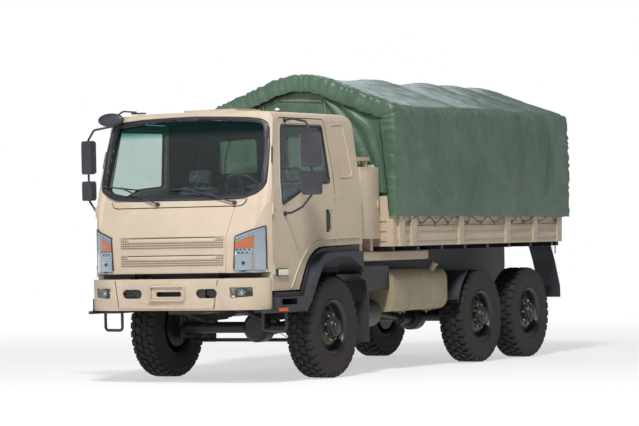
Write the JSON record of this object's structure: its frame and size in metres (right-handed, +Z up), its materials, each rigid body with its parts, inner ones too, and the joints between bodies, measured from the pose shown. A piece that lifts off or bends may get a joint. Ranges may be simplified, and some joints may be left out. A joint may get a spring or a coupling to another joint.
{
  "type": "six-wheel-drive military cargo truck",
  "caption": "Forward-control military cargo truck with a tilting cab, a canvas-covered load bed, a drop tailgate and three driven axles.",
  "frame": {"origin": "on the ground under the middle of the truck's length and width", "axes": "+X forward, +Y to the truck's left, +Z up"},
  "size_m": [7.31, 3.0168, 3.3289],
  "materials": {
    "sand_paint": "satin",
    "frame_black": "satin",
    "engine_grey": "matte",
    "black_plastic": "matte",
    "black_rubber": "matte",
    "tyre_rubber": "matte",
    "wheel_grey": "satin",
    "tank_paint": "satin",
    "canvas": "satin",
    "clear_glass": "polished",
    "lamp_lens": "polished",
    "seat_fabric": "matte"
  },
  "bodies": {
    "chassis": {"frame_rails": "frame_black", "engine_block": "engine_grey", "gearbox": "engine_grey", "prop_shafts": "frame_black", "front_axle": "frame_black", "rear_axles": "frame_black", "leaf_springs": "frame_black", "bumper": "sand_paint", "chassis_lamps": "lamp_lens", "tow_fittings": "frame_black", "tube_steps": "black_plastic", "wings": "black_plastic", "mudguards": "black_rubber", "battery_box": "black_plastic", "fuel_tank": "tank_paint", "air_tank": "frame_black", "silencer": "frame_black", "stowage_boxes": "sand_paint", "cabinet": "sand_paint", "bed_floor": "sand_paint", "headboard": "sand_paint", "bed_sides": "sand_paint", "bows": "frame_black", "canopy": "canvas", "front_curtain": "canvas", "curtain_roll": "canvas"},
    "tailgate": {"tailgate": "sand_paint"},
    "cab": {"cab_shell": "sand_paint", "cab_glass": "clear_glass", "windshield_seal": "black_rubber", "front_panel": "sand_paint", "cab_lamps": "lamp_lens", "seats": "seat_fabric", "dashboard": "black_plastic"},
    "hatch": {"roof_hatch": "sand_paint"},
    "left_door": {"door_left": "sand_paint", "door_glass_left": "clear_glass", "mirror_left": "black_plastic"},
    "right_door": {"door_right": "sand_paint", "door_glass_right": "clear_glass", "mirror_right": "black_plastic"},
    "left_knuckle": {"knuckle_left": "frame_black"},
    "right_knuckle": {"knuckle_right": "frame_black"},
    "tie_rod": {"tie_rod": "frame_black"},
    "front_left_wheel": {"tyre_front_left": "tyre_rubber", "wheel_front_left": "wheel_grey"},
    "front_right_wheel": {"tyre_front_right": "tyre_rubber", "wheel_front_right": "wheel_grey"},
    "middle_left_wheel": {"tyre_middle_left": "tyre_rubber", "wheel_middle_left": "wheel_grey"},
    "middle_right_wheel": {"tyre_middle_right": "tyre_rubber", "wheel_middle_right": "wheel_grey"},
    "rear_left_wheel": {"tyre_rear_left": "tyre_rubber", "wheel_rear_left": "wheel_grey"},
    "rear_right_wheel": {"tyre_rear_right": "tyre_rubber", "wheel_rear_right": "wheel_grey"}
  },
  "joints": [
    {"name": "steer_left", "type": "hinge", "parent": "chassis", "child": "left_knuckle", "pos_m": [2.145, 0.8, 0.543], "axis": [0, 0, 1], "range_deg": [-28, 28]},
    {"name": "steer_right", "type": "hinge", "parent": "chassis", "child": "right_knuckle", "pos_m": [2.145, -0.8, 0.543], "axis": [0, 0, 1], "range_deg": [-28, 28]},
    {"name": "tie_rod_swing", "type": "hinge", "parent": "left_knuckle", "child": "tie_rod", "pos_m": [1.945, 0.8, 0.398], "axis": [0, 0, 1], "range_deg": [-28, 28]},
    {"name": "cab_tilt", "type": "hinge", "parent": "chassis", "child": "cab", "pos_m": [3.565, 0, 1.02], "axis": [0, 1, 0], "range_deg": [0, 45]},
    {"name": "door_left_swing", "type": "hinge", "parent": "cab", "child": "left_door", "pos_m": [3.33, 1.102, 1.5], "axis": [0, 0, -1], "range_deg": [0, 70]},
    {"name": "door_right_swing", "type": "hinge", "parent": "cab", "child": "right_door", "pos_m": [3.33, -1.102, 1.5], "axis": [0, 0, 1], "range_deg": [0, 70]},
    {"name": "hatch_swing", "type": "hinge", "parent": "cab", "child": "hatch", "pos_m": [2.189, 0, 2.904], "axis": [0, -1, 0], "range_deg": [0, 90]},
    {"name": "tailgate_swing", "type": "hinge", "parent": "chassis", "child": "tailgate", "pos_m": [-3.57, 0, 1.408], "axis": [0, -1, 0], "range_deg": [0, 175]},
    {"name": "spin_front_left", "type": "hinge", "parent": "left_knuckle", "child": "front_left_wheel", "pos_m": [2.145, 0.9855, 0.543], "axis": [0, 1, 0], "continuous": true},
    {"name": "spin_front_right", "type": "hinge", "parent": "right_knuckle", "child": "front_right_wheel", "pos_m": [2.145, -0.9855, 0.543], "axis": [0, 1, 0], "continuous": true},
    {"name": "spin_middle_left", "type": "hinge", "parent": "chassis", "child": "middle_left_wheel", "pos_m": [-1.39, 0.9855, 0.543], "axis": [0, 1, 0], "continuous": true},
    {"name": "spin_middle_right", "type": "hinge", "parent": "chassis", "child": "middle_right_wheel", "pos_m": [-1.39, -0.9855, 0.543], "axis": [0, 1, 0], "continuous": true},
    {"name": "spin_rear_left", "type": "hinge", "parent": "chassis", "child": "rear_left_wheel", "pos_m": [-2.698, 0.9855, 0.543], "axis": [0, 1, 0], "continuous": true},
    {"name": "spin_rear_right", "type": "hinge", "parent": "chassis", "child": "rear_right_wheel", "pos_m": [-2.698, -0.9855, 0.543], "axis": [0, 1, 0], "continuous": true}
  ],
  "couplings": [
    {"joint": "steer_right", "follows": "steer_left", "ratio": 1},
    {"joint": "tie_rod_swing", "follows": "steer_left", "ratio": -1}
  ]
}
